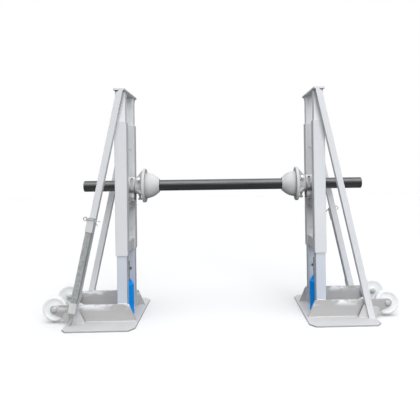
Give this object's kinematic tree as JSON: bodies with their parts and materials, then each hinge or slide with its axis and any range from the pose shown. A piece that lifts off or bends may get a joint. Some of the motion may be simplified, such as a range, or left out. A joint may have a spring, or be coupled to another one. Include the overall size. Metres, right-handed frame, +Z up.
{
  "type": "cable drum jack",
  "caption": "Hydraulic cable drum stands whose sliding carriages lift a common turning shaft with centring cones; each stand tips onto wheels and carries its own jack lever.",
  "frame": {"origin": "on the floor, midway between the stands, under the shaft line", "axes": "+X along the shaft towards the right stand, +Y away from the camera, +Z up"},
  "size_m": [2.376, 0.82, 1.543],
  "materials": {
    "light_grey_paint": "satin sprayed paint",
    "cast_grey_paint": "painted casting, slightly rough",
    "dark_steel": "black mill scale",
    "galvanised_steel": "dull zinc",
    "white_nylon": "matte",
    "blue_paint": "gloss",
    "bright_steel": "ground",
    "zinc_bolts": "zinc plated",
    "bronze": "machined"
  },
  "bodies": {
    "left_stand": {"left_base_plate": "light_grey_paint", "left_wall_front": "light_grey_paint", "left_wall_rear": "light_grey_paint", "left_upright_front": "light_grey_paint", "left_upright_rear": "light_grey_paint", "left_top_cap": "light_grey_paint", "left_brace_front": "light_grey_paint", "left_brace_rear": "light_grey_paint", "left_brace_gussets": "light_grey_paint", "left_lever_sockets": "light_grey_paint", "left_wheel_bolts": "zinc_bolts", "left_jack_body": "blue_paint"},
    "left_carriage": {"left_sleeve_front": "light_grey_paint", "left_sleeve_rear": "light_grey_paint", "left_saddle_beam": "light_grey_paint", "left_jack_beam": "light_grey_paint", "left_bearing_housing": "cast_grey_paint", "left_bearing_bush": "bronze", "left_bearing_cap": "cast_grey_paint", "left_carriage_bolts": "zinc_bolts"},
    "left_ram": {"left_jack_ram": "bright_steel"},
    "left_pump_rocker": {"left_jack_handle_socket": "blue_paint"},
    "left_valve": {"left_jack_release_valve": "zinc_bolts"},
    "left_lever_bar": {"left_lever": "galvanised_steel"},
    "left_clip": {"left_lever_clip": "zinc_bolts"},
    "left_front_wheel": {"left_wheel_front": "white_nylon"},
    "left_rear_wheel": {"left_wheel_rear": "white_nylon"},
    "left_drum_cone": {"left_cone": "cast_grey_paint", "left_cone_screws": "zinc_bolts"},
    "right_stand": {"right_base_plate": "light_grey_paint", "right_wall_front": "light_grey_paint", "right_wall_rear": "light_grey_paint", "right_upright_front": "light_grey_paint", "right_upright_rear": "light_grey_paint", "right_top_cap": "light_grey_paint", "right_brace_front": "light_grey_paint", "right_brace_rear": "light_grey_paint", "right_brace_gussets": "light_grey_paint", "right_lever_sockets": "light_grey_paint", "right_wheel_bolts": "zinc_bolts", "right_jack_body": "blue_paint"},
    "right_carriage": {"right_sleeve_front": "light_grey_paint", "right_sleeve_rear": "light_grey_paint", "right_saddle_beam": "light_grey_paint", "right_jack_beam": "light_grey_paint", "right_bearing_housing": "cast_grey_paint", "right_bearing_bush": "bronze", "right_bearing_cap": "cast_grey_paint", "right_carriage_bolts": "zinc_bolts"},
    "right_ram": {"right_jack_ram": "bright_steel"},
    "right_pump_rocker": {"right_jack_handle_socket": "blue_paint"},
    "right_valve": {"right_jack_release_valve": "zinc_bolts"},
    "right_lever_bar": {"right_lever": "galvanised_steel"},
    "right_clip": {"right_lever_clip": "zinc_bolts"},
    "right_front_wheel": {"right_wheel_front": "white_nylon"},
    "right_rear_wheel": {"right_wheel_rear": "white_nylon"},
    "right_drum_cone": {"right_cone": "cast_grey_paint", "right_cone_screws": "zinc_bolts"},
    "shaft": {"drum_shaft": "dark_steel"}
  },
  "joints": [
    {"name": "left_lift", "type": "slide", "parent": "left_stand", "child": "left_carriage", "axis": [0, 0, 1], "range_m": [-0.125, 0.04]},
    {"name": "left_ram_slide", "type": "slide", "parent": "left_stand", "child": "left_ram", "axis": [0, 0, 1], "range_m": [-0.125, 0.04]},
    {"name": "stand_spacing", "type": "slide", "parent": "left_stand", "child": "right_stand", "axis": [1, 0, 0], "range_m": [0, 0.25]},
    {"name": "right_lift", "type": "slide", "parent": "right_stand", "child": "right_carriage", "axis": [0, 0, 1], "range_m": [-0.125, 0.04]},
    {"name": "right_ram_slide", "type": "slide", "parent": "right_stand", "child": "right_ram", "axis": [0, 0, 1], "range_m": [-0.125, 0.04]},
    {"name": "shaft_spin", "type": "hinge", "parent": "left_carriage", "child": "shaft", "pos_m": [0.02, 0, 0.895], "axis": [1, 0, 0], "continuous": true},
    {"name": "left_cone_slide", "type": "slide", "parent": "shaft", "child": "left_drum_cone", "axis": [1, 0, 0], "range_m": [0, 0.35]},
    {"name": "right_cone_slide", "type": "slide", "parent": "shaft", "child": "right_drum_cone", "axis": [-1, 0, 0], "range_m": [0, 0.35]},
    {"name": "left_pump", "type": "hinge", "parent": "left_stand", "child": "left_pump_rocker", "pos_m": [-0.71756, 0.0315, 0.156], "axis": [-0.5, -0.866, 0], "range_deg": [0, 50]},
    {"name": "left_valve_turn", "type": "hinge", "parent": "left_stand", "child": "left_valve", "pos_m": [-0.75299, 0.06812, 0.021], "axis": [-0.866, 0.5, 0], "range_deg": [0, 540]},
    {"name": "left_lever_slide", "type": "slide", "parent": "left_stand", "child": "left_lever_bar", "axis": [0.2149, 0, 0.9766], "range_m": [0, 0.68]},
    {"name": "left_clip_pull", "type": "slide", "parent": "left_lever_bar", "child": "left_clip", "axis": [-0.9766, 0, 0.2149], "range_m": [0, 0.09]},
    {"name": "left_front_wheel_spin", "type": "hinge", "parent": "left_stand", "child": "left_front_wheel", "pos_m": [-1.108, -0.1725, 0.093], "axis": [0, 1, 0], "continuous": true},
    {"name": "left_rear_wheel_spin", "type": "hinge", "parent": "left_stand", "child": "left_rear_wheel", "pos_m": [-1.108, 0.1725, 0.093], "axis": [0, 1, 0], "continuous": true},
    {"name": "right_pump", "type": "hinge", "parent": "right_stand", "child": "right_pump_rocker", "pos_m": [0.71756, 0.0315, 0.156], "axis": [-0.5, 0.866, 0], "range_deg": [0, 50]},
    {"name": "right_valve_turn", "type": "hinge", "parent": "right_stand", "child": "right_valve", "pos_m": [0.76699, 0.04388, 0.021], "axis": [0.866, 0.5, 0], "range_deg": [0, 540]},
    {"name": "right_lever_slide", "type": "slide", "parent": "right_stand", "child": "right_lever_bar", "axis": [-0.2149, 0, 0.9766], "range_m": [0, 0.68]},
    {"name": "right_clip_pull", "type": "slide", "parent": "right_lever_bar", "child": "right_clip", "axis": [0.9766, 0, 0.2149], "range_m": [0, 0.09]},
    {"name": "right_front_wheel_spin", "type": "hinge", "parent": "right_stand", "child": "right_front_wheel", "pos_m": [1.108, -0.1725, 0.093], "axis": [0, 1, 0], "continuous": true},
    {"name": "right_rear_wheel_spin", "type": "hinge", "parent": "right_stand", "child": "right_rear_wheel", "pos_m": [1.108, 0.1725, 0.093], "axis": [0, 1, 0], "continuous": true}
  ],
  "couplings": [
    {"joint": "left_ram_slide", "follows": "left_lift", "ratio": 1},
    {"joint": "right_lift", "follows": "left_lift", "ratio": 1},
    {"joint": "right_ram_slide", "follows": "left_lift", "ratio": 1}
  ]
}
